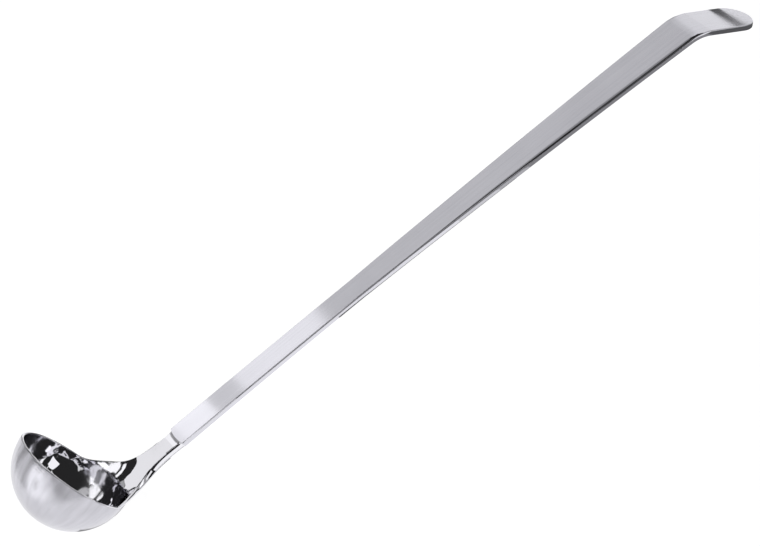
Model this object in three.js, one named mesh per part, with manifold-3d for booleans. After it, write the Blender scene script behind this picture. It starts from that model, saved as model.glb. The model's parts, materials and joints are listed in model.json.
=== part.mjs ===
// Dressing ladle: a small round bowl on a long flat handle, with a bent tab to hang it by.
//
// The ladle is drawn in its own axes and then laid on its back: x runs from the bowl's
// centre up the handle, z points to the open front of the bowl, y goes across. The bowl and
// the handle are pressed sheet steel, so each is drawn as a sheet with a back and a front.
// Sizes are in millimetres, angles in degrees.

import * as THREE from 'three';
import { mergeVertices } from 'three/addons/utils/BufferGeometryUtils.js';
import Module from 'manifold-3d';

const wasm = await Module();
wasm.setup();

// Bowl: half a ball, whose rim leans back from square to the handle.
const BOWL_RADIUS = 25;
const BOWL_WALL = 1.2;
const RIM_LEAN = 19.5;

// Web and neck: from this far round the back the rim sweeps up into the flat neck, which
// bends back by the lean to run in line with the handle.
const WEB_ANGLE = 58;
const WEB_HEIGHT = 25;
const WEB_LEAVES_RIM = 10;
const WEB_MEETS_NECK = 15.5;
const WEB_FLATTENS_BY = 16;
const NECK_BEND_RADIUS = 14.5;
const NECK_HALF_BACK = 5.8;
const NECK_HALF_FRONT = 4.6;
const NECK_THICKNESS = 2.2;

// Shoulder: the round end of the handle, which stands a little proud of the neck's front.
const SHOULDER = 40.2;
const SHOULDER_SAG = 0.8;

// Handle: shoulder to bend, bowed a little to the front, with a width that grows from
// FLARE_START to the bend.
const HANDLE_LENGTH = 275.3;
const HANDLE_BOW = 1.85;
const HANDLE_THICKNESS = 2.5;
const HANDLE_HALF_START = 5.85;
const HANDLE_HALF_END = 10.05;
const FLARE_START = 95.5;

// Tab: bent towards the back, with a rounded tip.
const BEND_ANGLE = 33.6;
const BEND_RADIUS = 9;
const TAB_LENGTH = 31.8;
const TIP_ROUND = 8.8;

// Tang: a tongue of the neck, let into the back of the handle and welded there.
const TANG_LENGTH = 18;
const TANG_HALF = 3.2;
const TANG_THICKNESS = 1;
const TANG_INSET = 0.2;
const TANG_ROOT = 6;
const WELD_WIDTH = 1.6;
const BEAD_SIZE = 0.35;
const BEAD_HOLLOW = 0.12;

// Clearance that separate pieces keep from each other.
const GAP = 0.3;

// How finely the curves are divided.
const BOWL_ROWS = 16;
const RIM_STEPS = 20;
const WEB_STEPS = 12;
const HANDLE_STEPS = 14;
const BEND_STEPS = 6;
const TIP_STEPS = 8;
const BEAD_STEPS = 8;
const TANG_STEPS = 3;
const ACROSS = [-1, -0.5, 0, 0.5, 1];
const ACROSS_AXIS = new THREE.Vector3(0, 1, 0);

const { clamp, degToRad, lerp, smoothstep } = THREE.MathUtils;
const LEAN = degToRad(RIM_LEAN);
const BACK_PLANE = NECK_BEND_RADIUS * (1 - Math.cos(LEAN)) - BOWL_RADIUS * Math.cos(LEAN);
const FRONT_PLANE = BACK_PLANE + HANDLE_THICKNESS;
const TANG_TOP = TANG_INSET + TANG_THICKNESS;

// A sheet holds a back and a front point for each vertex. Faces are listed anticlockwise as
// seen from the back, and wherever a face has no neighbour the sheet is closed by an edge.
class Sheet {
  constructor() {
    this.back = [];
    this.front = [];
    this.faces = [];
  }

  add(back, front) {
    this.front.push(front);
    return this.back.push(back) - 1;
  }

  // Joins two rows of vertices of equal length.
  bridge(low, high) {
    for (let i = 0; i + 1 < low.length; i++) {
      this.faces.push([low[i], low[i + 1], high[i + 1]], [low[i], high[i + 1], high[i]]);
    }
  }

  // Joins each row to the next.
  loft(rows) {
    for (let i = 0; i + 1 < rows.length; i++) {
      this.bridge(rows[i], rows[i + 1]);
    }
  }

  // Joins a row to one point beyond it.
  cap(row, point) {
    for (let i = 0; i + 1 < row.length; i++) {
      this.faces.push([row[i], row[i + 1], point]);
    }
  }

  geometry() {
    const count = this.back.length;
    const edges = new Set(this.faces.flatMap(([a, b, c]) => [`${a},${b}`, `${b},${c}`, `${c},${a}`]));
    const index = [];
    for (const [a, b, c] of this.faces) {
      index.push(a, b, c, count + a, count + c, count + b);
    }
    for (const edge of edges) {
      const [a, b] = edge.split(',').map(Number);
      if (!edges.has(`${b},${a}`)) {
        index.push(b, a, count + a, b, count + a, count + b);
      }
    }
    const geometry = new THREE.BufferGeometry().setFromPoints([...this.back, ...this.front]);
    geometry.setIndex(index);
    return geometry;
  }
}

function toSolid(geometry) {
  const bare = geometry.clone();
  bare.deleteAttribute('normal');
  bare.deleteAttribute('uv');
  const merged = mergeVertices(bare);
  return new wasm.Manifold(new wasm.Mesh({
    numProp: 3,
    vertProperties: new Float32Array(merged.attributes.position.array),
    triVerts: new Uint32Array(merged.index.array),
  }));
}

function toGeometry(solid) {
  const { vertProperties, triVerts } = solid.getMesh();
  const geometry = new THREE.BufferGeometry();
  geometry.setAttribute('position', new THREE.BufferAttribute(vertProperties, 3));
  geometry.setIndex(new THREE.BufferAttribute(triVerts, 1));
  geometry.computeVertexNormals();
  return geometry;
}

// Where the curved shoulder lies at a distance y from the middle.
function shoulderAt(y) {
  return SHOULDER - SHOULDER_SAG * (1 - (y / HANDLE_HALF_START) ** 2);
}

// Length of the climb from the bowl's bottom to its rim.
const QUARTER = BOWL_RADIUS * Math.PI / 2;

// Back and front of the bowl's sheet, from how far up the wall a point has climbed and how
// far it lies from the back's middle line, both measured along the outside. Up to the rim
// the sheet is a ball. Above it the sheet bends back, and flattens into the neck.
function bowlWall(climb, across) {
  if (climb <= QUARTER) {
    const up = climb / BOWL_RADIUS;
    const around = across / BOWL_RADIUS;
    const out = new THREE.Vector3(
      -Math.cos(up), Math.sin(up) * Math.sin(around), -Math.sin(up) * Math.cos(around));
    out.applyAxisAngle(ACROSS_AXIS, -LEAN);
    return [out.clone().multiplyScalar(BOWL_RADIUS), out.multiplyScalar(BOWL_RADIUS - BOWL_WALL)];
  }
  const rise = climb - QUARTER;
  const turned = Math.min(rise / NECK_BEND_RADIUS, LEAN);
  const lean = LEAN - turned;
  const spineX = BOWL_RADIUS * Math.sin(LEAN) + NECK_BEND_RADIUS * (Math.sin(LEAN) - Math.sin(lean))
    + rise - NECK_BEND_RADIUS * turned;
  const spineZ = BACK_PLANE - NECK_BEND_RADIUS * (1 - Math.cos(lean));

  const flat = smoothstep(rise, 0, WEB_FLATTENS_BY);
  const curvature = (1 - flat) / BOWL_RADIUS;
  const turn = curvature * across;
  const y = turn === 0 ? across : Math.sin(turn) / curvature;
  const hollow = turn === 0 ? 0 : (1 - Math.cos(turn)) / curvature;
  const forward = new THREE.Vector3(-Math.sin(lean), 0, Math.cos(lean));
  const back = new THREE.Vector3(spineX, y, spineZ).addScaledVector(forward, hollow);
  const inward = forward.multiplyScalar(Math.cos(turn)).addScaledVector(ACROSS_AXIS, -Math.sin(turn));
  const front = back.clone().addScaledVector(inward, lerp(BOWL_WALL, NECK_THICKNESS, flat));
  front.y *= lerp(1, NECK_HALF_FRONT / NECK_HALF_BACK, flat);
  return [back, front];
}

// Columns of the bowl's sheet from the back's middle to the front's middle: how far each lies
// from the back's middle line, and how far it climbs before it reaches the edge.
function bowlColumns() {
  const columns = ACROSS.filter((part) => part >= 0 && part < 1)
    .map((part) => ({ across: part * NECK_HALF_BACK, climb: QUARTER + WEB_HEIGHT }));

  // The web's edge leaves the rim in line with it and ends in line with the neck.
  const start = degToRad(WEB_ANGLE);
  const startAcross = BOWL_RADIUS * start;
  const web = new THREE.CubicBezierCurve(
    new THREE.Vector2(NECK_HALF_BACK, WEB_HEIGHT),
    new THREE.Vector2(NECK_HALF_BACK, WEB_HEIGHT - WEB_MEETS_NECK),
    new THREE.Vector2(startAcross - WEB_LEAVES_RIM, 0),
    new THREE.Vector2(startAcross, 0));
  for (const point of web.getPoints(WEB_STEPS)) {
    columns.push({ across: point.x, climb: QUARTER + point.y });
  }
  for (let step = 1; step <= RIM_STEPS; step++) {
    columns.push({ across: BOWL_RADIUS * lerp(start, Math.PI, step / RIM_STEPS), climb: QUARTER });
  }
  return columns;
}

function bowlGeometry() {
  const sheet = new Sheet();
  const half = bowlColumns();
  const mirrored = half.slice(1, -1).reverse().map(({ across, climb }) => ({ across: -across, climb }));
  const columns = [...mirrored, ...half];
  const bottom = sheet.add(...bowlWall(0, 0));
  let below = null;
  for (let row = 1; row <= BOWL_ROWS; row++) {
    const ring = columns.map(({ across, climb }) => sheet.add(...bowlWall(climb * row / BOWL_ROWS, across)));
    ring.push(ring[0]);
    if (below) {
      sheet.bridge(below, ring);
    } else {
      sheet.cap([...ring].reverse(), bottom);
    }
    below = ring;
  }

  // The neck goes on from the top of the columns within its width, up to the shoulder.
  const middle = mirrored.length;
  const reach = (ACROSS.length - 1) / 2;
  const root = below.slice(middle - reach, middle + reach + 1);
  const end = ACROSS.map((part) => {
    const backY = part * NECK_HALF_BACK;
    const frontY = part * NECK_HALF_FRONT;
    return sheet.add(
      new THREE.Vector3(shoulderAt(backY) - GAP, backY, BACK_PLANE),
      new THREE.Vector3(shoulderAt(frontY) - GAP, frontY, BACK_PLANE + NECK_THICKNESS));
  });
  sheet.bridge(root, end);

  const tang = strip(SHOULDER - TANG_ROOT, SHOULDER + TANG_LENGTH, TANG_HALF, TANG_INSET, TANG_TOP);
  return toGeometry(toSolid(sheet.geometry()).add(toSolid(tang)));
}

// A place on the handle, seen from the side: the front is at x and z and has turned back by an
// angle. It gives the point at a distance y across and so deep below the front.
function station(x, z, turn) {
  return (y, deep) => new THREE.Vector3(x - deep * Math.sin(turn), y, z - deep * Math.cos(turn));
}

// The bowed stretch between the shoulder and the bend.
const BOW_TURN = Math.atan(4 * HANDLE_BOW / HANDLE_LENGTH);

function bowed(x) {
  const along = (x - SHOULDER) / HANDLE_LENGTH;
  return station(
    x, FRONT_PLANE + 4 * HANDLE_BOW * along * (1 - along), BOW_TURN * (2 * along - 1));
}

function halfAt(x) {
  const flare = clamp((x - SHOULDER - FLARE_START) / (HANDLE_LENGTH - FLARE_START), 0, 1);
  return lerp(HANDLE_HALF_START, HANDLE_HALF_END, flare);
}

// The bend at the top, and the flat tab past it.
const BEND = degToRad(BEND_ANGLE);
const FRONT_BEND_RADIUS = BEND_RADIUS + HANDLE_THICKNESS;
const BEND_RUN = FRONT_BEND_RADIUS * Math.tan((BEND - BOW_TURN) / 2);
const BEND_START = SHOULDER + HANDLE_LENGTH - BEND_RUN;
const TAB_STRAIGHT = TAB_LENGTH - BEND_RUN - TIP_ROUND;

function bent(turn) {
  const start = bowed(BEND_START)(0, 0);
  return station(
    start.x + FRONT_BEND_RADIUS * (Math.sin(turn) - Math.sin(BOW_TURN)),
    start.z + FRONT_BEND_RADIUS * (Math.cos(turn) - Math.cos(BOW_TURN)),
    turn);
}

function tab(along) {
  const start = bent(BEND)(0, 0);
  return station(start.x + along * Math.cos(BEND), start.z - along * Math.sin(BEND), BEND);
}

const TIP = tab(TAB_STRAIGHT + TIP_ROUND);

// A strip that follows the bow, between two heights above the handle's back.
function strip(start, end, half, low, high) {
  const sheet = new Sheet();
  const rows = [];
  for (let step = 0; step <= TANG_STEPS; step++) {
    const place = bowed(lerp(start, end, step / TANG_STEPS));
    rows.push([-half, half].map((y) => sheet.add(
      place(y, HANDLE_THICKNESS - low), place(y, HANDLE_THICKNESS - high))));
  }
  sheet.loft(rows);
  return sheet.geometry();
}

function handleGeometry() {
  const sheet = new Sheet();
  const addPoint = (place, y) => sheet.add(place(y, HANDLE_THICKNESS), place(y, 0));
  const addRow = (half, place) => ACROSS.map((part) => addPoint(place, part * half));

  const rows = [ACROSS.map((part) => {
    const y = part * HANDLE_HALF_START;
    return addPoint(bowed(shoulderAt(y)), y);
  })];
  for (let step = 1; step < HANDLE_STEPS; step++) {
    const x = lerp(SHOULDER, BEND_START, step / HANDLE_STEPS);
    rows.push(addRow(halfAt(x), bowed(x)));
  }
  for (let step = 0; step <= BEND_STEPS; step++) {
    rows.push(addRow(HANDLE_HALF_END, bent(lerp(BOW_TURN, BEND, step / BEND_STEPS))));
  }
  for (let step = 0; step < TIP_STEPS; step++) {
    const turn = Math.PI / 2 * step / TIP_STEPS;
    rows.push(addRow(HANDLE_HALF_END * Math.cos(turn), tab(TAB_STRAIGHT + TIP_ROUND * Math.sin(turn))));
  }
  sheet.loft(rows);
  sheet.cap(rows.at(-1), addPoint(TIP, 0));

  // The pocket in the back takes the tang and the weld at its end.
  const pocket = strip(
    SHOULDER - SHOULDER_SAG - GAP, WELD_END + GAP, TANG_HALF + GAP, -GAP, TANG_TOP + GAP);
  return toGeometry(toSolid(sheet.geometry()).subtract(toSolid(pocket)));
}

// The weld that closes the pocket behind the tang, ground flush.
const WELD_START = SHOULDER + TANG_LENGTH + GAP;
const WELD_END = WELD_START + WELD_WIDTH;

function tangWeldGeometry() {
  const geometry = strip(WELD_START, WELD_END, TANG_HALF, TANG_INSET, TANG_TOP);
  geometry.computeVertexNormals();
  return geometry;
}

// The small hollow bead that follows the shoulder across the neck's front.
function shoulderWeldGeometry() {
  const sheet = new Sheet();
  const low = BACK_PLANE + NECK_THICKNESS + GAP;
  const half = NECK_HALF_FRONT - GAP;
  const rows = [];
  for (let step = 0; step <= BEAD_STEPS; step++) {
    const y = half * (2 * step / BEAD_STEPS - 1);
    const x = shoulderAt(y) - GAP;
    const foot = new THREE.Vector3(x - BEAD_SIZE, y, low);
    const corner = new THREE.Vector3(x, y, low);
    const crest = new THREE.Vector3(x, y, low + BEAD_SIZE);
    const hollow = new THREE.Vector3(x - BEAD_HOLLOW, y, low + BEAD_HOLLOW);
    rows.push([sheet.add(foot, hollow), sheet.add(corner, crest)]);
  }
  sheet.loft(rows.reverse());
  const geometry = sheet.geometry();
  geometry.computeVertexNormals();
  return geometry;
}

function piece(name, geometry, color, roughness) {
  const material = new THREE.MeshStandardMaterial({ color, roughness, metalness: 1 });
  const mesh = new THREE.Mesh(geometry, material);
  mesh.name = name;
  return mesh;
}

const ladle = new THREE.Group();
ladle.add(
  piece('bowl', bowlGeometry(), 0xd6d6db, 0.18),
  piece('handle', handleGeometry(), 0xb9b9c0, 0.34),
  piece('shoulder_weld', shoulderWeldGeometry(), 0xc8c8ce, 0.2),
  piece('tang_weld', tangWeldGeometry(), 0xc2c2c8, 0.36));

// Laid on its back, the ladle touches the table with the bowl and with the tab's tip, so it
// is tipped until both are equally low.
const tip = TIP(0, HANDLE_THICKNESS);
const tipReach = Math.hypot(tip.x, tip.z);
const tipDrop = Math.atan2(tip.z, tip.x);
ladle.rotation.y = tipDrop + Math.asin(BOWL_RADIUS / tipReach);

const object = new THREE.Group();
object.add(ladle);
const extent = new THREE.Box3().setFromObject(object, true);
const middle = extent.getCenter(new THREE.Vector3());
ladle.position.set(-middle.x, -middle.y, -extent.min.z);

export default object;
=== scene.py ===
# %% [markdown]
# # A dressing ladle in polished steel
# A ladle like this portions dressings at a salad bar: a half-ball bowl, a flat neck, a long
# handle that widens upwards, and a bent tab that hangs over the rim of a jar. It is all
# steel, so its whole look comes from shape, polish and what the room throws back at it.
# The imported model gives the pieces, their places and their sizes. Here each piece is made
# again with a finer surface, and then gets its finish.

# %% Load the frame
import json
import math

import bmesh
import bpy
import numpy as np
from mathutils import Matrix, Vector


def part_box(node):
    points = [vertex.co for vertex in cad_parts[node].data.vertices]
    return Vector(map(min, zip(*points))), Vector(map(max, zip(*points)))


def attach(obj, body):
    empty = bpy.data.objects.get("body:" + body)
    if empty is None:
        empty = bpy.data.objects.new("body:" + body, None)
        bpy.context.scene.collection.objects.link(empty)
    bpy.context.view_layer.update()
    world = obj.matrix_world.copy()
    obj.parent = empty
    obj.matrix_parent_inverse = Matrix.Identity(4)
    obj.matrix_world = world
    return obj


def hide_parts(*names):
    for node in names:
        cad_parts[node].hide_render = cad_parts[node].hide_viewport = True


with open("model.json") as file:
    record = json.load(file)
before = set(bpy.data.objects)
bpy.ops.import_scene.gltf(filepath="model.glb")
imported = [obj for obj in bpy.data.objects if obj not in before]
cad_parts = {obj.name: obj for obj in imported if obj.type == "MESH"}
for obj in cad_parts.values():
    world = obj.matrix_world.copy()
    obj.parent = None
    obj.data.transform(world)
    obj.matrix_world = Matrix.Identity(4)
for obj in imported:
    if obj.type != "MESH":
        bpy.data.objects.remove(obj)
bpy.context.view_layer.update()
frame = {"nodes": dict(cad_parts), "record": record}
print("pieces in the frame:", sorted(frame["nodes"]))

# %% [markdown]
# ## Working in the ladle's own axes
# The ladle lies on its back, tipped a little, which would make every formula awkward. So
# shapes are drawn in millimetres in the ladle's own axes: x up the handle from the middle of
# the bowl, z to the open front, y across. One matrix then lays them in the frame. Its tip
# angle is read from the flat underside of the tab, and its place from the bowl's box.

# %% From the ladle's axes to the frame
MM = 0.001
BOWL_RADIUS = 25.0
BEND = math.radians(33.6)

tab_mount = frame["record"]["mounts"][0]
tab_axis = Vector(tab_mount["axis"])
tip_angle = math.atan2(-tab_axis.x, -tab_axis.z) - BEND
bowl_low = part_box("bowl")[0]
bowl_centre = Vector((bowl_low.x + BOWL_RADIUS * MM, 0, bowl_low.z + BOWL_RADIUS * MM))
LAY = Matrix.Translation(bowl_centre) @ Matrix.Rotation(tip_angle, 4, "Y") @ Matrix.Scale(MM, 4)
print("tipped by", round(math.degrees(tip_angle), 2), "degrees about", tuple(bowl_centre))

# %% [markdown]
# ## The camera
# The view is from the side of the bowl's opening, low enough to see both the mirror inside
# and the satin outside. A long lens keeps the handle's taper honest: nearly all of it is
# the real widening. The camera is rolled, so that the handle climbs across the picture.

# %% Camera
CAMERA_PLACE = Vector((-0.1469, -0.7274, 0.6198))
CAMERA_AIM = Vector((0.1418, 0.7589, -0.6356))
CAMERA_RIGHT = Vector((0.7904, -0.4734, -0.3888))
CAMERA_LENS = 109.75
SENSOR_WIDTH = 36.0

back = -CAMERA_AIM.normalized()
right = (CAMERA_RIGHT - back * CAMERA_RIGHT.dot(back)).normalized()
turn = Matrix((right, back.cross(right), back)).transposed().to_4x4()
camera_data = bpy.data.cameras.new("camera")
camera_data.lens = CAMERA_LENS
camera_data.sensor_width = SENSOR_WIDTH
camera = bpy.data.objects.new("camera", camera_data)
camera.matrix_world = Matrix.Translation(CAMERA_PLACE) @ turn
bpy.context.scene.collection.objects.link(camera)
bpy.context.scene.camera = camera
print("camera looks down by", round(math.degrees(math.asin(back.z)), 1), "degrees")

# %% [markdown]
# ## Arithmetic with nodes
# A rule such as "the half width grows from here to there" is easy to read as an expression
# and hard to read as a web of Math nodes. So a small class wraps a number's socket, and
# arithmetic on it adds the nodes. It serves for shapes and for finishes alike.


# %% A number in a node tree
class Number:
    """A number's socket in a node tree. Arithmetic on it adds Math nodes."""

    def __init__(self, maker, socket):
        self.maker = maker
        self.socket = socket

    def __add__(self, other):
        return self.maker.math("ADD", self, other)

    def __sub__(self, other):
        return self.maker.math("SUBTRACT", self, other)

    def __mul__(self, other):
        return self.maker.math("MULTIPLY", self, other)

    def __truediv__(self, other):
        return self.maker.math("DIVIDE", self, other)

    def __rsub__(self, other):
        return self.maker.math("SUBTRACT", other, self)

    def __rtruediv__(self, other):
        return self.maker.math("DIVIDE", other, self)

    __radd__ = __add__
    __rmul__ = __mul__

    def sin(self):
        return self.maker.math("SINE", self)

    def cos(self):
        return self.maker.math("COSINE", self)

    def at_most(self, other):
        return self.maker.math("MINIMUM", self, other)

    def at_least(self, other):
        return self.maker.math("MAXIMUM", self, other)

    def between(self, low, high):
        return self.at_least(low).at_most(high)

    def share(self, low, high):
        """How far this number is from low to high, held between 0 and 1."""
        return ((self - low) / (high - low)).between(0, 1)


class Maker:
    """Adds nodes to one tree: settings are set first, then sockets are filled or linked."""

    def __init__(self, tree):
        self.tree = tree

    def plug(self, value, place):
        if isinstance(value, Number):
            value = value.socket
        if isinstance(value, bpy.types.NodeSocket):
            self.tree.links.new(value, place)
        else:
            place.default_value = value

    def node(self, kind, settings=None, sockets=None):
        made = self.tree.nodes.new(kind)
        for name, value in (settings or {}).items():
            setattr(made, name, value)
        for name, value in (sockets or {}).items():
            self.plug(value, made.inputs[name])
        return made

    def math(self, operation, *numbers):
        made = self.node("ShaderNodeMath", {"operation": operation}, dict(enumerate(numbers)))
        return Number(self, made.outputs[0])

    def number(self, node, output):
        return Number(self, node.outputs[output])


print("arithmetic ready: Number and Maker")

# %% [markdown]
# ## Pieces from meshes
# Every piece ends as a plain mesh at the origin, with its place in its points. A helper
# makes an object from points and faces, and another bakes its modifiers into a mesh, lays it
# in the frame and shades it smooth, with creases kept where faces meet at a sharp angle.

# %% Helpers for pieces
CREASE = math.radians(35)


def new_object(name, spots=(), faces=()):
    """An object in the scene, with a mesh of these points and faces."""
    mesh = bpy.data.meshes.new(name)
    mesh.from_pydata([tuple(spot) for spot in spots], [], [tuple(face) for face in faces])
    made = bpy.data.objects.new(name, mesh)
    bpy.context.scene.collection.objects.link(made)
    return made


def bake(piece):
    """Turns a piece and its modifiers into a plain mesh in the frame."""
    graph = bpy.context.evaluated_depsgraph_get()
    mesh = bpy.data.meshes.new_from_object(piece.evaluated_get(graph), depsgraph=graph)
    piece.modifiers.clear()
    piece.data = mesh
    mesh.name = piece.name
    mesh.transform(LAY)
    turned_out = bmesh.new()
    turned_out.from_mesh(mesh)
    bmesh.ops.recalc_face_normals(turned_out, faces=turned_out.faces)
    open_edges_left = sum(not edge.is_manifold for edge in turned_out.edges)
    turned_out.to_mesh(mesh)
    turned_out.free()
    mesh.shade_smooth()
    mesh.set_sharp_from_angle(angle=CREASE)
    print(piece.name, "has", len(mesh.polygons), "faces and", open_edges_left, "open edges")
    return piece


def fit_to_node(piece, node):
    """The piece moves with the ladle and stands for a node of the frame."""
    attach(piece, "root")
    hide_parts(node)


print("creases are kept above", round(math.degrees(CREASE)), "degrees")

# %% [markdown]
# ## The bowl: one sheet, pressed to shape
# The real bowl is drawn from sheet: a half ball, whose rim leans back from square to the
# handle, and a web at the back that sweeps up and flattens into the neck. A revolved shape
# would not have the web, and sculpting would not keep the true half ball that a mirror
# needs. So the sheet is a formula: how far a point has climbed up the wall, and how far
# round it lies, give its outside and its inside.

# %% The bowl's sheet as a formula
BOWL_WALL = 1.2
LEAN = math.radians(19.5)
WEB_ANGLE = math.radians(58)
WEB_HEIGHT = 25.0
WEB_LEAVES_RIM = 10.0
WEB_MEETS_NECK = 15.5
WEB_FLATTENS_BY = 16.0
NECK_BEND_RADIUS = 14.5
NECK_HALF_BACK = 5.8
NECK_HALF_FRONT = 4.6
NECK_THICKNESS = 2.2
BACK_PLANE = NECK_BEND_RADIUS * (1 - math.cos(LEAN)) - BOWL_RADIUS * math.cos(LEAN)
QUARTER = BOWL_RADIUS * math.pi / 2


def smooth_share(value, low, high):
    """How far a value is from low to high, easing in and out."""
    share = np.clip((value - low) / (high - low), 0, 1)
    return share * share * (3 - 2 * share)


def points(x, y, z):
    """Rows of points from three coordinates, each a number or an array."""
    return np.stack(np.broadcast_arrays(x, y, z), axis=-1)


def ball(climb, across):
    """Outward directions on the half ball, tipped by the rim's lean."""
    up = climb / BOWL_RADIUS
    around = across / BOWL_RADIUS
    forward = np.sin(up) * np.cos(around)
    return points(
        forward * math.sin(LEAN) - np.cos(up) * math.cos(LEAN),
        np.sin(up) * np.sin(around),
        -forward * math.cos(LEAN) - np.cos(up) * math.sin(LEAN),
    )


def web(rise, across):
    """Outside and inside of the web and neck, at a height above the rim."""
    turned = np.minimum(rise / NECK_BEND_RADIUS, LEAN)
    lean = LEAN - turned
    spine_x = (BOWL_RADIUS + NECK_BEND_RADIUS) * math.sin(LEAN) - NECK_BEND_RADIUS * np.sin(lean)
    spine_x = spine_x + rise - NECK_BEND_RADIUS * turned
    spine_z = BACK_PLANE - NECK_BEND_RADIUS * (1 - np.cos(lean))
    flat = smooth_share(rise, 0, WEB_FLATTENS_BY)
    curl = across * (1 - flat) / BOWL_RADIUS
    width = across * np.sinc(curl / math.pi)
    hollow = across * np.sinc(curl / (2 * math.pi)) * np.sin(curl / 2)
    outside = points(spine_x - hollow * np.sin(lean), width, spine_z + hollow * np.cos(lean))
    inward = points(-np.sin(lean) * np.cos(curl), -np.sin(curl), np.cos(lean) * np.cos(curl))
    thickness = BOWL_WALL + (NECK_THICKNESS - BOWL_WALL) * flat
    inside = outside + inward * thickness[..., None]
    inside[..., 1] *= 1 + (NECK_HALF_FRONT / NECK_HALF_BACK - 1) * flat
    return outside, inside


def bowl_sheet(climb, across):
    """Outside and inside of the whole sheet: the ball below the rim, the web above it."""
    climb, across = np.broadcast_arrays(climb, across)
    out = ball(np.minimum(climb, QUARTER), across)
    web_outside, web_inside = web(np.maximum(climb - QUARTER, 0), across)
    above = (climb > QUARTER)[..., None]
    outside = np.where(above, web_outside, out * BOWL_RADIUS)
    inside = np.where(above, web_inside, out * (BOWL_RADIUS - BOWL_WALL))
    return outside, inside


print("the neck's back lies", round(-BACK_PLANE, 2), "mm behind the bowl's middle")

# %% [markdown]
# ## The bowl's edge and mesh
# Going round the rim, most columns of points stop at it. Those near the back climb on: the
# web's edge leaves the rim in line with it and ends in line with the neck, as a curve with
# two handles. A pressed rim is never sharp, and its thin highlight draws the bowl's outline.
# A bevel has one width all round, but the neck is thicker than the rim. So the sheet's open
# edge is closed with rings of points on a curve, which turn from the outside to the inside.

# %% Columns of the bowl, from the middle of the back to the middle of the front
NECK_COLUMNS = 6
WEB_COLUMNS = 40
RIM_COLUMNS = 66
BOWL_ROWS = 72
NECK_ROWS = 10
SHOULDER = 40.2
SHOULDER_SAG = 0.8
HANDLE_HALF_START = 6.05


def shoulder_at(y):
    """Where the handle's round end lies, at a distance y from the middle."""
    return SHOULDER - SHOULDER_SAG * (1 - (y / HANDLE_HALF_START) ** 2)


def bowl_columns():
    """How far round each column lies, and how far it climbs."""
    start = BOWL_RADIUS * WEB_ANGLE
    t = np.linspace(0, 1, WEB_COLUMNS + 1)
    weights = np.stack([(1 - t) ** 3, 3 * t * (1 - t) ** 2, 3 * t * t * (1 - t), t**3])
    handles = np.array(
        [
            (NECK_HALF_BACK, WEB_HEIGHT),
            (NECK_HALF_BACK, WEB_HEIGHT - WEB_MEETS_NECK),
            (start - WEB_LEAVES_RIM, 0),
            (start, 0),
        ]
    )
    edge = weights.T @ handles
    neck = np.linspace(0, NECK_HALF_BACK, NECK_COLUMNS, endpoint=False)
    rim = np.linspace(start, BOWL_RADIUS * math.pi, RIM_COLUMNS + 1)[1:]
    across = np.concatenate([neck, edge[:, 0], rim])
    climb = np.concatenate([np.full(NECK_COLUMNS, WEB_HEIGHT), edge[:, 1], 0 * rim]) + QUARTER
    mirrored = slice(-2, 0, -1)
    return np.append(-across[mirrored], across), np.append(climb[mirrored], climb)


def bowl_faces(columns, middle):
    """Faces of one side of the sheet. Point 0 is the bottom, then come the rows."""
    def at(row, column):
        return 1 + row * columns + column % columns

    faces = [(0, at(0, i), at(0, i + 1)) for i in range(columns)]
    for row in range(BOWL_ROWS - 1):
        for i in range(columns):
            faces.append((at(row, i), at(row + 1, i), at(row + 1, i + 1), at(row, i + 1)))
    width = 2 * NECK_COLUMNS + 1
    below = [at(BOWL_ROWS - 1, middle - NECK_COLUMNS + i) for i in range(width)]
    first = 1 + BOWL_ROWS * columns
    for row in range(NECK_ROWS):
        above = [first + row * width + i for i in range(width)]
        for i in range(width - 1):
            faces.append((below[i], above[i], above[i + 1], below[i + 1]))
        below = above
    return faces


def bowl_points():
    """Points of both sides, the number of columns, and the column in the middle of the back."""
    across, climb = bowl_columns()
    rows = np.arange(1, BOWL_ROWS + 1)[:, None] / BOWL_ROWS
    sides = []
    lowest = bowl_sheet(np.zeros(1), np.zeros(1))
    dish = bowl_sheet(rows * climb, across)
    part = np.linspace(-1, 1, 2 * NECK_COLUMNS + 1)
    step = np.linspace(0, 1, NECK_ROWS + 1)[1:, None]
    middle = len(across) // 2 - 1
    neck = slice(middle - NECK_COLUMNS, middle + NECK_COLUMNS + 1)
    ends = ((NECK_HALF_BACK, BACK_PLANE), (NECK_HALF_FRONT, BACK_PLANE + NECK_THICKNESS))
    for bottom, wall, (half, height) in zip(lowest, dish, ends):
        root = wall[-1, neck]
        end = points(shoulder_at(part * half), part * half, height)
        stem = root + (end - root) * step[..., None]
        sides.append(np.concatenate([bottom, wall.reshape(-1, 3), stem.reshape(-1, 3)]))
    return sides, len(across), middle


bowl_sides, column_count, back_column = bowl_points()
print("bowl columns:", column_count, "points on each side:", len(bowl_sides[0]))

# %% The bowl's mesh
RIM_ROUND = 0.3
NECK_ROUND = 0.35
ROUND_STEPS = 10


def edge_loop(faces):
    """The sheet's open edge as a row of point numbers, in the faces' direction."""
    edges = {edge for face in faces for edge in zip(face, (*face[1:], face[0]))}
    after = {a: b for a, b in edges if (b, a) not in edges}
    loop = [min(after)]
    while after[loop[-1]] != loop[0]:
        loop.append(after[loop[-1]])
    return loop


def unit(vectors):
    return vectors / np.linalg.norm(vectors, axis=-1, keepdims=True)


def out_of_edge(spots, faces, loop):
    """At each point of the loop, the direction that leads off the sheet's edge."""
    normals = np.zeros_like(spots)
    for face in faces:
        first, second, third = spots[list(face[:3])]
        normals[list(face)] += np.cross(second - first, third - second)
    edge = spots[loop]
    along = np.roll(edge, -1, axis=0) - np.roll(edge, 1, axis=0)
    return unit(np.cross(along, normals[loop]))


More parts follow.
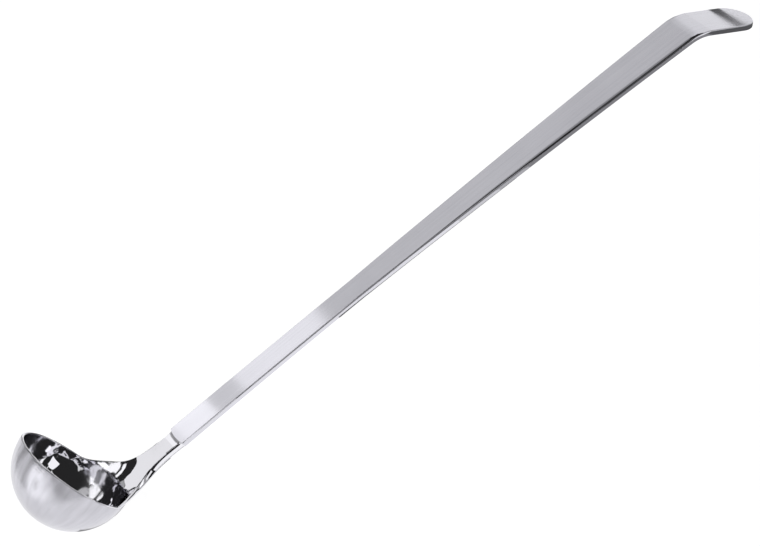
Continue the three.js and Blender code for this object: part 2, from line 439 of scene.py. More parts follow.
def rounded_rings(outer, outer_out, inner, inner_out):
    """Rings of points that turn from the outside over the edge to the inside."""
    thickness = np.linalg.norm(outer - inner, axis=1, keepdims=True)
    neck_share = np.clip((thickness - BOWL_WALL) / (NECK_THICKNESS - BOWL_WALL), 0, 1)
    round_off = RIM_ROUND + (NECK_ROUND - RIM_ROUND) * neck_share
    start = outer - outer_out * round_off
    end = inner - inner_out * round_off
    rings = []
    for t in np.linspace(0, 1, ROUND_STEPS + 1):
        ring = start * (1 - t) ** 3 + outer * 3 * t * (1 - t) ** 2
        rings.append(ring + inner * 3 * t * t * (1 - t) + end * t**3)
    return rings


def make_bowl(outside, inside, faces):
    """The closed bowl. Its polish is noted: satin outside, a mirror inside and on the edge."""
    count = len(outside)
    loop = edge_loop(faces)
    outer_out = out_of_edge(outside, faces, loop)
    inner_out = out_of_edge(inside, faces, loop)
    rings = rounded_rings(outside[loop], outer_out, inside[loop], inner_out)
    outside[loop] = rings[0]
    inside[loop] = rings[-1]
    numbers = [loop]
    for ring in range(len(rings) - 2):
        numbers.append([2 * count + ring * len(loop) + i for i in range(len(loop))])
    numbers.append([count + i for i in loop])
    inner = [tuple(count + i for i in reversed(face)) for face in faces]
    band = []
    for lower, upper in zip(numbers, numbers[1:]):
        for i in range(len(loop)):
            band.append((lower[i], lower[i - 1], upper[i - 1], upper[i]))
    spots = np.concatenate([outside, inside, *rings[1:-1]])
    piece = new_object("bowl_shell", spots, faces + inner + band)
    polish = piece.data.attributes.new("polish", "FLOAT", "FACE")
    polish.data.foreach_set("value", [0.0] * len(faces) + [1.0] * (len(inner) + len(band)))
    return piece


bowl = make_bowl(*bowl_sides, bowl_faces(column_count, back_column))
print("bowl faces:", len(bowl.data.polygons))

# %% [markdown]
# ## The handle: a strip with a rule
# The handle is cut from strip, bowed a little, widened towards the top and bent there into a
# tab with a round tip. All of that is a rule of two numbers, how far along and how far
# round the section, which is what Geometry Nodes are good at: a grid is moved into shape by
# arithmetic, and its sizes are named inputs, so a longer handle or a sharper bend is one
# number away. A bevel could round the edges, but it stalls at the tip, where the rows
# crowd. So the rounding is in the rule too: soft on the front, where a polishing belt
# runs over the edge, and softer towards the top.

# %% Sizes of the handle
HANDLE_THICKNESS = 2.5
HANDLE_SIZES = {
    "Shoulder": SHOULDER,
    "Shoulder Sag": SHOULDER_SAG,
    "Length": 275.3,
    "Front": BACK_PLANE + HANDLE_THICKNESS,
    "Bow": 1.85,
    "Thickness": HANDLE_THICKNESS,
    "Half Start": HANDLE_HALF_START,
    "Half End": 10.25,
    "Flare Start": 95.5,
    "Bend": BEND,
    "Bend Radius": 20.0,
    "Tab Length": 31.8,
    "Tip Round": 8.8,
    "Edge Start": 0.4,
    "Edge Round": 0.6,
    "Soft From": 120.0,
    "Soft By": 210.0,
    "Soft Edge": 3.4,
}
MERGE_WITHIN = 0.0005


def new_tree(name, sizes):
    """An empty geometry tree with a geometry output and named number inputs."""
    tree = bpy.data.node_groups.new(name, "GeometryNodeTree")
    tree.interface.new_socket("Geometry", in_out="OUTPUT", socket_type="NodeSocketGeometry")
    tree.interface.new_socket("Material", in_out="INPUT", socket_type="NodeSocketMaterial")
    for size in sizes:
        tree.interface.new_socket(size, in_out="INPUT", socket_type="NodeSocketFloat")
    return tree


def start_grid(maker, along_steps, round_steps):
    """A grid, with its two coordinates as numbers from -1 to 1."""
    sockets = {"Size X": 2.0, "Size Y": 2.0}
    sockets.update({"Vertices X": along_steps + 1, "Vertices Y": round_steps + 1})
    grid = maker.node("GeometryNodeMeshGrid", None, sockets)
    place = maker.node("GeometryNodeInputPosition")
    axes = maker.node("ShaderNodeSeparateXYZ", None, {0: place.outputs[0]})
    return grid.outputs[0], maker.number(axes, "X"), maker.number(axes, "Y")


def end_grid(maker, group_in, grid, x, y, z, polish=1.0):
    """Notes the polish, moves the points, closes the seams and sets the material."""
    sockets = {"Geometry": grid, "Name": "polish", "Value": polish}
    noted = maker.node("GeometryNodeStoreNamedAttribute", None, sockets)
    spot = maker.node("ShaderNodeCombineXYZ", None, {"X": x, "Y": y, "Z": z})
    sockets = {"Geometry": noted.outputs[0], "Position": spot.outputs[0]}
    moved = maker.node("GeometryNodeSetPosition", None, sockets)
    sockets = {"Geometry": moved.outputs[0], "Distance": MERGE_WITHIN}
    closed = maker.node("GeometryNodeMergeByDistance", None, sockets)
    real = maker.node("GeometryNodeRealizeInstances", None, {"Geometry": closed.outputs[0]})
    sockets = {"Geometry": real.outputs[0], "Material": group_in.outputs["Material"]}
    painted = maker.node("GeometryNodeSetMaterial", None, sockets)
    maker.node("NodeGroupOutput", None, {"Geometry": painted.outputs[0]})


def grow(name, tree, sizes):
    """A new object with the tree as its modifier, and the inputs set by identifier."""
    piece = new_object(name)
    modifier = piece.modifiers.new("tree", "NODES")
    modifier.node_group = tree
    for socket in tree.interface.items_tree:
        if socket.in_out == "INPUT" and socket.name in sizes:
            modifier[socket.identifier] = sizes[socket.name]
    return piece


print("handle inputs:", list(HANDLE_SIZES))

# %% The handle's rule as a node tree
ALONG_STEPS = 320
BODY_ENDS = 0.6
BEND_ENDS = 0.75
TAB_ENDS = 0.82
FACE_STEPS = 5
CORNER_STEPS = 8
SIDE_STEPS = 2
ROUND_END_FADES = 30.0
EDGE_GROWS_BY = 60.0
EDGE_POLISH_STEPS = 4
RIGHT_ANGLE = math.pi / 2


def handle_tree():
    """A grid that is wrapped round the handle's section and laid along its length."""
    tree = new_tree("handle_rule", HANDLE_SIZES)
    maker = Maker(tree)
    group_in = maker.node("NodeGroupInput")
    size = {name: maker.number(group_in, name) for name in HANDLE_SIZES}
    half_loop = 2 * FACE_STEPS + 2 * CORNER_STEPS + SIDE_STEPS
    grid, along, across = start_grid(maker, ALONG_STEPS, 2 * half_loop)
    along = along / 2 + 0.5
    loop = maker.math("ABSOLUTE", across) * half_loop
    edge_sign = maker.math("SIGN", across)

    # Along: an end cap, then the bowed body, the bend, the tab and the tip.
    cap = along.share(0, 1 / ALONG_STEPS)
    body = along.share(1 / ALONG_STEPS, BODY_ENDS)
    bent = along.share(BODY_ENDS, BEND_ENDS)
    tab = along.share(BEND_ENDS, TAB_ENDS)
    tip = along.share(TAB_ENDS, 1) * RIGHT_ANGLE

    # Round the section: the front face, a soft corner, the side, a corner, the back face.
    steps = [FACE_STEPS, CORNER_STEPS, SIDE_STEPS, CORNER_STEPS, FACE_STEPS]
    stops = np.cumsum([0, *steps]).tolist()
    face, front, side, rear, back_face = (loop.share(a, b) for a, b in zip(stops, stops[1:]))
    front = front * RIGHT_ANGLE
    rear = rear * RIGHT_ANGLE
    from_middle = (1 - (1 - face) * (1 - face)) * (1 - back_face * back_face)

    # The bow is a parabola, so its ends slope by four times its height over its length.
    bow_turn = 4 * size["Bow"] / size["Length"]
    half_bend = (size["Bend"] - bow_turn) / 2
    bend_run = size["Bend Radius"] * half_bend.sin() / half_bend.cos()
    body_length = size["Length"] - bend_run
    way = body * body_length
    flare = way.share(size["Flare Start"], body_length)
    half = size["Half Start"] + (size["Half End"] - size["Half Start"]) * flare
    grown = (way / EDGE_GROWS_BY).at_most(1)
    edge = size["Edge Start"] + (size["Edge Round"] - size["Edge Start"]) * grown
    edge = edge + (size["Edge Start"] - edge) * bent
    rubbed = way.share(size["Soft From"], size["Soft By"]) * (1 - bent)
    soft = edge + (size["Soft Edge"] - size["Edge Round"]) * rubbed

    # The outline's outward direction turns from sideways to lengthwise round the tip.
    out_along = tip.sin() / size["Tip Round"]
    out_across = tip.cos() / half
    out_size = maker.math("SQRT", out_along * out_along + out_across * out_across)
    inset = soft * (1 - front.sin()) + edge * (1 - rear.cos())
    deep = edge * (1 - front.cos() + rear.sin()) + (size["Thickness"] - 2 * edge) * side
    deep = size["Thickness"] / 2 + (deep - size["Thickness"] / 2) * cap
    y = (half * tip.cos() - inset * out_across / out_size) * from_middle * edge_sign * cap

    # Where the strip's front lies, and how far it has turned.
    share = way / size["Length"]
    bend_turn = bow_turn + bent * (size["Bend"] - bow_turn)
    straight = size["Tab Length"] - bend_run - size["Tip Round"]
    tab_way = tab * straight + size["Tip Round"] * tip.sin() - inset * out_along / out_size
    turn = bow_turn * (2 * share - 1) + bend_turn - bow_turn
    round_end = size["Shoulder Sag"] * (1 - y * y / (half * half))
    round_end = round_end * (1 - way / ROUND_END_FADES).at_least(0)
    x = size["Shoulder"] + way - round_end + tab_way * size["Bend"].cos()
    x = x + size["Bend Radius"] * (bend_turn.sin() - bow_turn.sin()) - deep * turn.sin()
    z = size["Front"] + 4 * size["Bow"] * share * (1 - share) - tab_way * size["Bend"].sin()
    z = z + size["Bend Radius"] * (bend_turn.cos() - bow_turn.cos()) - deep * turn.cos()
    polish = loop.share(FACE_STEPS, FACE_STEPS + EDGE_POLISH_STEPS)
    end_grid(maker, group_in, grid, x, y, z, polish)
    return tree


handle_rule = handle_tree()
print("handle_rule has", len(handle_rule.nodes), "nodes")

# %% [markdown]
# ## The welds
# A weld follows a seam, so it is a profile swept along a path. One tree makes both: the
# hollow fillet along the handle's round end, and the flat one on the back that closes the
# pocket behind the neck's tongue. Only the path and the profile's corners differ.

# %% A weld as a swept profile
WELD_SIZES = ("Middle", "Half", "Sag", "Height", "Reach", "Rise", "Crown", "Depth")
WELD_STEPS = 40
PROFILE_STEPS = 10
TAPER = 0.12


def weld_tree():
    """A grid that is wrapped round a bead's profile and laid across the ladle."""
    tree = new_tree("weld_bead", WELD_SIZES)
    maker = Maker(tree)
    group_in = maker.node("NodeGroupInput")
    size = {name: maker.number(group_in, name) for name in WELD_SIZES}
    grid, along, across = start_grid(maker, WELD_STEPS, 2 * PROFILE_STEPS)
    part = maker.math("ABSOLUTE", across).share(0, 1 - 1 / PROFILE_STEPS)
    wall = maker.math("ABSOLUTE", across).share(1 - 1 / PROFILE_STEPS, 1)
    upper = maker.math("GREATER_THAN", across, 0)
    end = maker.math("SQRT", (1 - maker.math("ABSOLUTE", along)).share(0, TAPER))
    y = along * size["Half"]
    seam = size["Middle"] + size["Sag"] * along * along
    top = size["Rise"] * part + size["Crown"] * 4 * part * (1 - part)
    bottom = 0 - size["Depth"] * part.share(0, 1 / PROFILE_STEPS)
    profile = top * upper + bottom * (1 - upper)
    level = profile + ((size["Rise"] - size["Depth"]) / 2 - profile) * wall
    x = seam - size["Reach"] * (1 - part)
    end_grid(maker, group_in, grid, x, y, size["Height"] + level * end)
    return tree


weld_rule = weld_tree()
print("weld inputs:", WELD_SIZES)

# %% [markdown]
# ## Steel
# Steel has no colour pattern to speak of. What tells its finishes apart is how it was
# rubbed: a mop leaves a mirror with faint haze, and a belt leaves fine parallel lines, which
# smear reflections across themselves. The lines are far too fine to model, so stretched
# noise drives a bump, along the handle lengthwise and round the bowl in rings. A plain
# roughness value would blur reflections all alike, which looks like plastic.

# %% A steel finish
FINE_DETAIL = 3.0


def steel(name, build):
    """A metal whose colour, roughness and bump come from build(maker, coordinates)."""
    material = bpy.data.materials.new(name)
    material.use_nodes = True
    tree = material.node_tree
    tree.nodes.clear()
    maker = Maker(tree)
    coordinates = maker.node("ShaderNodeTexCoord").outputs["Object"]
    colour, roughness, bump = build(maker, coordinates)
    sockets = {"Base Color": colour, "Metallic": 1.0, "Roughness": roughness, "Normal": bump}
    shader = maker.node("ShaderNodeBsdfPrincipled", None, sockets)
    maker.node("ShaderNodeOutputMaterial", None, {"Surface": shader.outputs[0]})
    return material


def from_bowl(maker, coordinates, turned):
    """Coordinates from the middle of the bowl, in axes that are turned about y."""
    sockets = {"Vector": coordinates, "Location": bowl_centre, "Rotation": (0, turned, 0)}
    return maker.node("ShaderNodeMapping", {"vector_type": "TEXTURE"}, sockets).outputs[0]


def noise_at(maker, spot, detail):
    sockets = {"Vector": spot, "Scale": 1.0, "Detail": detail}
    return maker.number(maker.node("ShaderNodeTexNoise", None, sockets), 0)


def stretched_noise(maker, coordinates, turned, waves, detail=FINE_DETAIL):
    """Noise in turned axes, with its own number of waves to the metre along each of them."""
    sockets = {0: from_bowl(maker, coordinates, turned), 1: waves}
    scaled = maker.node("ShaderNodeVectorMath", {"operation": "MULTIPLY"}, sockets)
    return noise_at(maker, scaled.outputs[0], detail)


def blend(maker, share, first, second):
    """A colour between two, by a share from 0 to 1."""
    sockets = {"Factor": share, "A": first, "B": second}
    return maker.node("ShaderNodeMix", {"data_type": "RGBA"}, sockets).outputs["Result"]


def bump_from(maker, height, distance):
    made = maker.node("ShaderNodeBump", None, {"Height": height, "Distance": distance})
    return made.outputs[0]


def polish_of(maker):
    """The polish noted in the mesh: 0 for satin, 1 for a mirror."""
    return maker.number(maker.node("ShaderNodeAttribute", {"attribute_name": "polish"}), "Fac")


print("a steel finish is a colour, a roughness and a bump")

# %% The handle's finish: satin, brushed lengthwise
HANDLE_LIGHT = (0.74, 0.735, 0.79, 1.0)
HANDLE_DARK = (0.66, 0.655, 0.708, 1.0)
HANDLE_GRAIN = (25.0, 9000.0, 25.0)
HANDLE_STREAKS = (12.0, 1500.0, 12.0)
HAZE = (60.0, 60.0, 60.0)
STREAK_PART = 0.6
HANDLE_CONTRAST = (0.3, 0.7)
EDGE_ROUGH = 0.05
PATCH_ROUGH = 0.03
BRUSHED_ROUGH = 0.04
GRAIN_ROUGH = 0.04
STREAK_ROUGH = 0.05
GRAIN_DEPTH = 0.000003


def satin_along(maker, coordinates):
    satin = 1 - polish_of(maker)
    grain = stretched_noise(maker, coordinates, tip_angle, HANDLE_GRAIN)
    streaks = stretched_noise(maker, coordinates, tip_angle, HANDLE_STREAKS)
    patches = stretched_noise(maker, coordinates, tip_angle, HAZE)
    shade = STREAK_PART * streaks + (1 - STREAK_PART) * patches
    colour = blend(maker, shade.share(*HANDLE_CONTRAST), HANDLE_DARK, HANDLE_LIGHT)
    brushed = BRUSHED_ROUGH + GRAIN_ROUGH * grain + STREAK_ROUGH * streaks
    roughness = EDGE_ROUGH + PATCH_ROUGH * patches + satin * brushed
    return colour, roughness, bump_from(maker, (grain + streaks) * satin, GRAIN_DEPTH)


satin_steel = steel("satin_steel", satin_along)
print(satin_steel.name, "has", len(satin_steel.node_tree.nodes), "nodes")

# %% [markdown]
# ## Streaks and an uneven mirror
# Soft streaks run down the outside from the rim. They are painted reflection: the ring
# brushing spreads reflections along them, and here they are lighter and darker stripes in the
# satin colour, as well as a bump. The mirror inside is slightly uneven, so that reflections
# wobble. Both are shallower than a mesh could show, so they are bump too: noise that goes
# round the bowl's axis for the streaks, and even noise for the inside.

# %% The bowl's finish: a mirror inside, satin rings outside
MIRROR_COLOUR = (0.80, 0.795, 0.835, 1.0)
SATIN_LIGHT = (0.63, 0.625, 0.674, 1.0)
SATIN_DARK = (0.51, 0.505, 0.548, 1.0)
BOWL_TURN = tip_angle - LEAN + RIGHT_ANGLE
RING_GRAIN = (120.0, 120.0, 7000.0)
RING_DEPTH = 0.00003
WAVES = (45.0, 45.0, 45.0)
WAVE_DEPTH = 0.00012
MIRROR_WAVES = 0.3
SMOOTH_DETAIL = 1.0
MARKS_ROUND = 9.0
MARKS_ALONG = 60.0
MARK_DETAIL = 2.0
MARK_DEPTH = 0.00004
MARKS_START = 0.012
MARKS_END = 0.023
# How much of the satin colour is painted reflection streaks.
SHEEN_STREAK_PART = 0.6
DENTS = (230.0, 230.0, 230.0)
DENT_DEPTH = 0.00015
DENTS_START = 0.0245
DENTS_END = 0.028
BOWL_CONTRAST = (0.32, 0.68)
HAZE_CONTRAST = (0.4, 0.7)
MIRROR_ROUGH = 0.02
HAZE_ROUGH = 0.12
SATIN_ROUGH = 0.08
RING_ROUGH = 0.1


def streaks_for_sheen_and_relief(maker, coordinates):
    """Noise in streaks from the rim towards the bowl's bottom, and how strong: a painted
    reflection in the colour, a bump in the relief.
    """
    turned = from_bowl(maker, coordinates, BOWL_TURN)
    axes = maker.node("ShaderNodeSeparateXYZ", None, {0: turned})
    x, y, z = (maker.number(axes, axis) for axis in "XYZ")
    from_axis = maker.math("SQRT", x * x + y * y)
    round_x = x / from_axis * MARKS_ROUND
    round_y = y / from_axis * MARKS_ROUND
    spot = maker.node("ShaderNodeCombineXYZ", None, {0: round_x, 1: round_y, 2: z * MARKS_ALONG})
    strength = 1 - maker.math("ABSOLUTE", z).share(MARKS_START, MARKS_END)
    return noise_at(maker, spot.outputs[0], MARK_DETAIL), strength


def in_bowl(maker, coordinates):
    """1 inside the ball, fading to 0 on the web and the neck."""
    sockets = {0: coordinates, 1: bowl_centre}
    distance = maker.node("ShaderNodeVectorMath", {"operation": "DISTANCE"}, sockets)
    return 1 - maker.number(distance, "Value").share(DENTS_START, DENTS_END)


def polished_inside_satin_outside(maker, coordinates):
    mirror = polish_of(maker)
    satin = 1 - mirror
    rings = stretched_noise(maker, coordinates, BOWL_TURN, RING_GRAIN)
    haze = stretched_noise(maker, coordinates, tip_angle, HAZE)
    waves = stretched_noise(maker, coordinates, tip_angle, WAVES, SMOOTH_DETAIL)
    dents = stretched_noise(maker, coordinates, tip_angle, DENTS, SMOOTH_DETAIL)
    sheen_and_relief_streaks, strength = streaks_for_sheen_and_relief(maker, coordinates)
    # The streaks paint reflection stripes into the satin colour, lighter and darker, near the
    # rim.
    shade = haze + (sheen_and_relief_streaks - haze) * SHEEN_STREAK_PART * strength
    rubbed = blend(maker, shade.share(*BOWL_CONTRAST), SATIN_DARK, SATIN_LIGHT)
    hazy = haze.share(*HAZE_CONTRAST)
    roughness = MIRROR_ROUGH + HAZE_ROUGH * hazy + satin * (SATIN_ROUGH + RING_ROUGH * rings)
    drawn = RING_DEPTH * rings + MARK_DEPTH * sheen_and_relief_streaks * strength
    waved = (MIRROR_WAVES + (1 - MIRROR_WAVES) * satin) * WAVE_DEPTH * waves
    dented = mirror * in_bowl(maker, coordinates) * DENT_DEPTH * dents
    bump = bump_from(maker, satin * drawn + waved + dented, 1.0)
    return blend(maker, mirror, rubbed, MIRROR_COLOUR), roughness, bump


polished_steel = steel("polished_steel", polished_inside_satin_outside)
print(polished_steel.name, "has", len(polished_steel.node_tree.nodes), "nodes")

# %% The welds' finish: ground
WELD_COLOUR = (0.66, 0.655, 0.69, 1.0)
WELD_GRAIN = (900.0, 900.0, 900.0)
WELD_ROUGH = 0.06
WELD_GRAIN_ROUGH = 0.1


def ground_weld(maker, coordinates):
    grain = stretched_noise(maker, coordinates, tip_angle, WELD_GRAIN)
    roughness = WELD_ROUGH + WELD_GRAIN_ROUGH * grain
    return WELD_COLOUR, roughness, bump_from(maker, grain, GRAIN_DEPTH)


weld_steel = steel("weld_steel", ground_weld)
print(weld_steel.name, "has", len(weld_steel.node_tree.nodes), "nodes")

# %% [markdown]
# ## The joint behind the neck
# The neck ends in a tongue, which lies in a pocket in the handle's back, so the joint is
# held by more than its weld. A Boolean modifier cuts the pocket and another adds the tongue:
# both are plain straps that follow the handle's bow at set heights above its back.

# %% Tongue and pocket
TANG_LENGTH = 18.0
TANG_HALF = 3.2
TANG_LOW = 0.2
TANG_HIGH = 1.2
TANG_ROOT = 6.0
WELD_WIDTH = 1.6
GAP = 0.3
STRAP_STEPS = 6


def back_height(x):
    """Where the handle's back lies above the ladle's middle."""
    share = (x - SHOULDER) / HANDLE_SIZES["Length"]
    return BACK_PLANE + 4 * HANDLE_SIZES["Bow"] * share * (1 - share)


def strap(name, start, end, half, low, high):
    """A closed bar along the handle's back."""
    spots = []
    for x in np.linspace(start, end, STRAP_STEPS + 1):
        for y, height in ((-half, low), (half, low), (half, high), (-half, high)):
            spots.append((x, y, back_height(x) + height))
    faces = [(0, 1, 2, 3), tuple(4 * STRAP_STEPS + i for i in (3, 2, 1, 0))]
    for step in range(STRAP_STEPS):
        for i in range(4):
            a = 4 * step + i
            b = 4 * step + (i + 1) % 4
            faces.append((a, a + 4, b + 4, b))
    return new_object(name, spots, faces)


def combine(piece, other, operation):
    """Joins or cuts a piece with another closed mesh, once it is baked."""
    modifier = piece.modifiers.new(operation.lower(), "BOOLEAN")
    modifier.operation = operation
    modifier.object = other
    modifier.solver = "EXACT"


weld_start = SHOULDER + TANG_LENGTH + GAP
tang = strap("tang", SHOULDER - TANG_ROOT, SHOULDER + TANG_LENGTH, TANG_HALF, TANG_LOW, TANG_HIGH)
pocket_end = weld_start + WELD_WIDTH + GAP
pocket_start = SHOULDER - SHOULDER_SAG - GAP
pocket = strap("pocket", pocket_start, pocket_end, TANG_HALF + GAP, -GAP, TANG_HIGH + GAP)
print("pocket", round(pocket_end - pocket_start, 2), "mm long")

# %% [markdown]
# ## Putting the pieces together
# Each piece takes its finish, is baked to a plain mesh, and stands for its node.

# %% Finish the pieces
bowl.data.materials.append(polished_steel)
combine(bowl, tang, "UNION")
bake(bowl)
fit_to_node(bowl, "bowl")

handle = grow("handle_bar", handle_rule, {**HANDLE_SIZES, "Material": satin_steel})
combine(handle, pocket, "DIFFERENCE")
bake(handle)
fit_to_node(handle, "handle")

for tool in (tang, pocket):
    bpy.data.objects.remove(tool)

# %% The two welds
FILLET_REACH = 1.3
FILLET_RISE = 0.3
FILLET_HOLLOW = -0.045
FILLET_DEPTH = 0.1
SEAM_CROWN = 0.12

fillet_sizes = {
    "Middle": SHOULDER - SHOULDER_SAG,
    "Half": NECK_HALF_FRONT,
    "Sag": SHOULDER_SAG * (NECK_HALF_FRONT / HANDLE_HALF_START) ** 2,
    "Height": BACK_PLANE + NECK_THICKNESS,
    "Reach": FILLET_REACH,
    "Rise": FILLET_RISE,
    "Crown": FILLET_HOLLOW,
    "Depth": FILLET_DEPTH,
    "Material": weld_steel,
}
shoulder_weld = bake(grow("shoulder_fillet", weld_rule, fillet_sizes))
fit_to_node(shoulder_weld, "shoulder_weld")

seam_sizes = {
    "Middle": weld_start + WELD_WIDTH,
    "Half": TANG_HALF,
    "Height": back_height(weld_start) + TANG_LOW,
    "Reach": WELD_WIDTH,
    "Crown": -SEAM_CROWN,
    "Depth": TANG_LOW - TANG_HIGH,
    "Material": weld_steel,
}
tang_weld = bake(grow("tang_seam", weld_rule, seam_sizes))
fit_to_node(tang_weld, "tang_weld")

# %% [markdown]
# ## A white table in a dark room
# Polished steel shows the room, so the room is part of the finish. Product studios stand
# bright metal on a lit white table in a dark room, and hang white panels round it where a
# face should look bright. The side of the camera stays black, which is what gives a mirror
# its contrast. Lamps would show in the metal as hard points, so everything here is a glowing
# surface. The panels are patches of a dome round the bowl, given by the directions in which
# the bowl sees them, and the camera doesn't see them.

# %% The table
FLOOR_HALF = 4.0
TABLE_GLOW = 0.92
TABLE_PAINT = 0.33
MATT = 0.9
WHITE = (1.0, 1.0, 1.0, 1.0)
ONE_FACE = [(0, 1, 2, 3)]


def paint(name, glow, diffuse=0.0):
    """A matt surface, from black to white, that also glows white."""
    material = bpy.data.materials.new(name)
    material.use_nodes = True
    shader = material.node_tree.nodes["Principled BSDF"]
    shader.inputs["Base Color"].default_value = (diffuse, diffuse, diffuse, 1)
    shader.inputs["Roughness"].default_value = MATT
    shader.inputs["Specular IOR Level"].default_value = 0.0
    shader.inputs["Emission Color"].default_value = WHITE
    shader.inputs["Emission Strength"].default_value = glow
    return material


def staged(name, corners, faces, material, seen=False):
    """Something round the ladle that isn't part of it."""
    made = new_object(name, corners, faces)
    made.data.materials.append(material)
    made.visible_camera = seen
    made.visible_shadow = seen
    return made


corners = [(-FLOOR_HALF, -FLOOR_HALF, 0), (FLOOR_HALF, -FLOOR_HALF, 0)]
corners += [(FLOOR_HALF, FLOOR_HALF, 0), (-FLOOR_HALF, FLOOR_HALF, 0)]
staged("floor", corners, ONE_FACE, paint("lit_table", TABLE_GLOW, TABLE_PAINT), True)
print("a table", 2 * FLOOR_HALF, "m across")

# %% The dome's panels
DOME_RADIUS = 1.0
SHADE_RADIUS = 0.9
PANEL_STEP = 4.0
# For each panel: its compass angles and its heights in degrees, and how much it glows. The
# shade also has a radius, because it hangs inside the dome, in front of a bright panel.
PANELS = {
    "neck_panel": ((86, 104), (6, 41), 0.95),
    "weld_panel": ((105, 125), (22, 40), 0.4),
    "strip_panel": ((92, 125), (55, 61), 1.2),
    "top_panel": ((60, 180), (66, 88), 1.2),
    "left_panel_0": ((104, 120), (-1, 20), 0.85),
    "left_panel_edge": ((120, 131), (-1, 48), 0.5),
    "left_panel_1": ((131, 146), (-1, 48), 0.9),
    "left_panel_2": ((146, 154), (-1, 48), 0.55),
    "left_panel_3": ((154, 162), (-1, 48), 0.8),
    "left_panel_4": ((162, 196), (-1, 48), 1.5),
    "left_panel_5": ((196, 214), (-1, 48), 1.15),
    "left_panel_6": ((214, 238), (-1, 48), 0.6),
    "left_panel_7": ((238, 262), (-1, 48), 0.75),
    "left_top_panel": ((180, 230), (60, 80), 1.5),
    "tab_panel": ((5, 45), (-1, 30), 0.85),
    "front_right_panel": ((-45, -10), (0, 45), 0.4),
    "end_panel": ((-10, 5), (8, 32), 0.4),
    "left_shade": ((176, 184), (11, 26), 0.62, SHADE_RADIUS),
}


def dome_panel(name, round_range, up_range, glow, radius=DOME_RADIUS):
    """A patch of the dome, between two compass angles and two heights, in degrees."""
    rounds = np.radians(np.linspace(*round_range, 2 + int(np.ptp(round_range) / PANEL_STEP)))
    ups = np.radians(np.linspace(*up_range, 2 + int(np.ptp(up_range) / PANEL_STEP)))
    up, turn = (grid.ravel() for grid in np.meshgrid(ups, rounds, indexing="ij"))
    spots = points(np.cos(up) * np.cos(turn), np.cos(up) * np.sin(turn), np.sin(up))
    wide = len(rounds)
    faces = [
        (row * wide + i, row * wide + i + 1, (row + 1) * wide + i + 1, (row + 1) * wide + i)
        for row in range(len(ups) - 1)
        for i in range(wide - 1)
    ]
    staged(name, spots * radius + np.array(bowl_centre), faces, paint(name, glow))


for name, values in PANELS.items():
    dome_panel(name, *values)
print("panels:", list(PANELS))

# %% [markdown]
# ## Cards that only metal sees
# A mirror's outline is drawn by what stands next to it, so photographers lay dark and pale
# cards close to the metal: black ones for crisp dark lines along an edge, pale ones to lift a
# side. Two grey cards under the handle and the bowl are painted shadow: they stand for the
# table's contact shadow in the reflections. More panels would light the table too. These
# cards are hidden from diffuse surfaces and from the camera, so they change reflections and
# nothing else.

# %% The dark room and its cards
ROOM_GLOW = 0.022
world = bpy.data.worlds.new("dark_room")
world.use_nodes = True
background = world.node_tree.nodes["Background"]
background.inputs["Color"].default_value = WHITE
background.inputs["Strength"].default_value = ROOM_GLOW
bpy.context.scene.world = world

# For each card: two opposite corners, and how much it glows.
CARDS = {
    "front_card_far": ((-2.5, -3.0, 0.001), (-0.2, -0.16, 0.001), 0.8),
    "front_card_left": ((-0.2, -3.0, 0.001), (-0.025, -0.16, 0.001), 0.02),
    "front_card_middle": ((-0.025, -3.0, 0.001), (0.08, -0.5, 0.001), 0.02),
    "front_card_right": ((0.08, -3.0, 0.001), (2.5, -0.16, 0.001), 0.02),
    "floor_card": ((-0.15, -0.16, 0.001), (0.0, -0.035, 0.001), 0.02),
    "rear_card": ((-0.108, 0.03, 0.001), (-0.02, 0.45, 0.001), 0.02),
    "rear_bowl_card": ((-0.145, 0.006, 0.001), (-0.1, 0.04, 0.001), 0.02),
    "rear_side_card": ((-0.128, 0.04, 0.001), (-0.108, 0.08, 0.001), 0.02),
    "edge_card": ((-0.118, -0.02, 0.012), (-0.09, -0.02, 0.026), 1.3),
    "overhead": ((-0.12, -0.12, 0.9), (0.2, 0.12, 0.9), 0.55),
    "blob_card": ((-0.09, 0.0, 0.19), (-0.02, 0.08, 0.19), 1.3),
    "side_card_1": ((0.03, -0.12, 0.002), (0.052, -0.006, 0.002), 0.8),
    "side_card_2": ((0.052, -0.12, 0.002), (0.068, -0.006, 0.002), 0.55),
    "side_card_3": ((0.068, -0.12, 0.002), (0.166, -0.006, 0.002), 0.3),
    "tab_card": ((0.166, -0.0305, 0.002), (0.26, -0.006, 0.002), 0.12),
    # Painted shadow: a grey card under the handle stands for the table's contact shadow, which
    # the handle's lower edge reflects.
    "shadow_card_under_handle": ((-0.035, -0.0145, 0.0025), (0.06, 0.012, 0.0025), 0.12),
    "behind_handle": ((-0.1, 0.014, 0.0015), (0.17, 0.05, 0.0015), 1.3),
    # Painted shadow: a grey card under the bowl stands for the table's contact shadow, which the
    # bowl's lowest edge reflects.
    "shadow_card_under_bowl": ((-0.175, -0.0125, 0.0005), (-0.138, 0.03, 0.0005), 0.3),
    "neck_card": ((-0.141, -0.06, 0.005), (-0.11, -0.06, 0.034), 1.1),
    "web_card": ((-0.107, -0.06, 0.033), (-0.072, -0.06, 0.05), 1.0),
    "band_card": ((0.165, 0.0125, 0.0064), (0.215, 0.0125, 0.0093), 0.12),
    "above_tab": ((0.15, -0.06, 0.32), (0.27, 0.06, 0.32), 0.12),
}


def card(name, corners, glow):
    """A flat card that only metal sees."""
    made = staged(name, corners, ONE_FACE, paint(name, glow))
    made.visible_diffuse = False


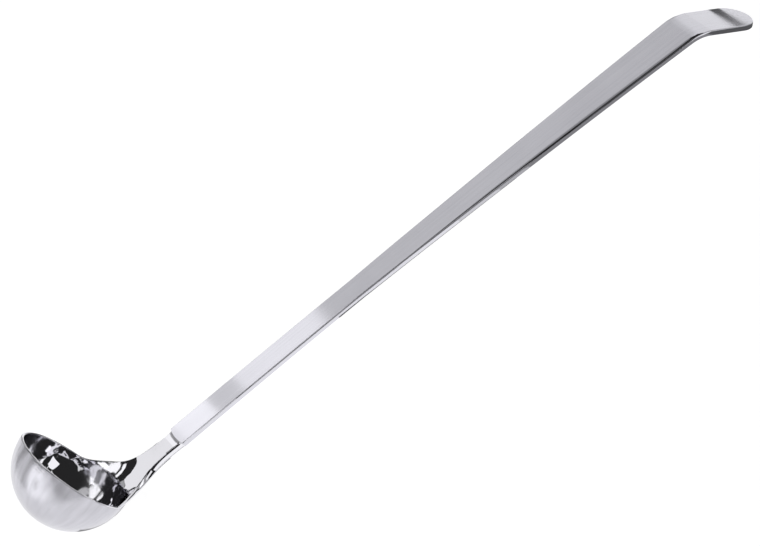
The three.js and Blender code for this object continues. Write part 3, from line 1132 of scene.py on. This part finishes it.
for name, ((x0, y0, z0), (x1, y1, z1), glow) in CARDS.items():
    card(name, [(x0, y0, z0), (x1, y0, z0), (x1, y1, z1), (x0, y1, z1)], glow)
print("cards:", list(CARDS))

# %% [markdown]
# ## A wall for the handle
# The handle is flat, and each part of it sees one spot of the room. Cards for it would also
# show in the bowl as large bright shapes. So they hang on a wall that stands in line with
# the bowl: the bowl sees its edge, and the handle sees its face.

# %% The handle's wall
WALL_TURN = math.radians(38.5)
WALL_FOOT = 0.01
WALL_LOW = 0.1
WALL_HIGH = 0.82
WALL_FADE = 1.25
FRONT_STEP = 0.36
# For each part: where it starts and ends, in metres from the bowl, and how much it glows.
# Some also have their own slopes and turn: the wall's dim top, and a wall on the camera's
# side for views from behind.
WALLS = {
    "wall_0": (0.046, 0.052, 1.1),
    "wall_1": (0.052, 0.074, 1.24),
    "wall_2": (0.074, 0.093, 0.78),
    "wall_3": (0.093, 0.158, 1.1),
    "wall_4": (0.158, 0.40, 0.66),
    "wall_5": (0.40, 0.56, 0.63),
    "wall_6": (0.56, 0.72, 0.61),
    "wall_7": (0.72, 0.95, 0.68),
    "wall_8": (0.95, 1.5, 0.76),
    "wall_fade": (0.25, 0.70, 0.3, WALL_HIGH, WALL_FADE),
    "front_wall_low": (0.1, 0.40, 0.6, WALL_LOW, FRONT_STEP, -WALL_TURN),
    "front_wall_high": (0.1, 0.40, 0.2, FRONT_STEP, WALL_FADE, -WALL_TURN),
}


def wall_card(name, near, far, glow, low=WALL_LOW, high=WALL_HIGH, turn=WALL_TURN):
    """A part of a wall between two distances from the bowl, higher further out."""
    out = Vector((math.cos(turn), math.sin(turn), 0))
    foot = Vector((bowl_centre.x, 0, WALL_FOOT))
    up = Vector((0, 0, 1))
    ends = ((near, low), (far, low), (far, high), (near, high))
    card(name, [foot + (out + up * steep) * reach for reach, steep in ends], glow)


for name, values in WALLS.items():
    wall_card(name, *values)
print("walls:", list(WALLS))

# %% Plain tones, so that the white table stays white
bpy.context.scene.view_settings.view_transform = "Standard"
print("view transform:", bpy.context.scene.view_settings.view_transform)
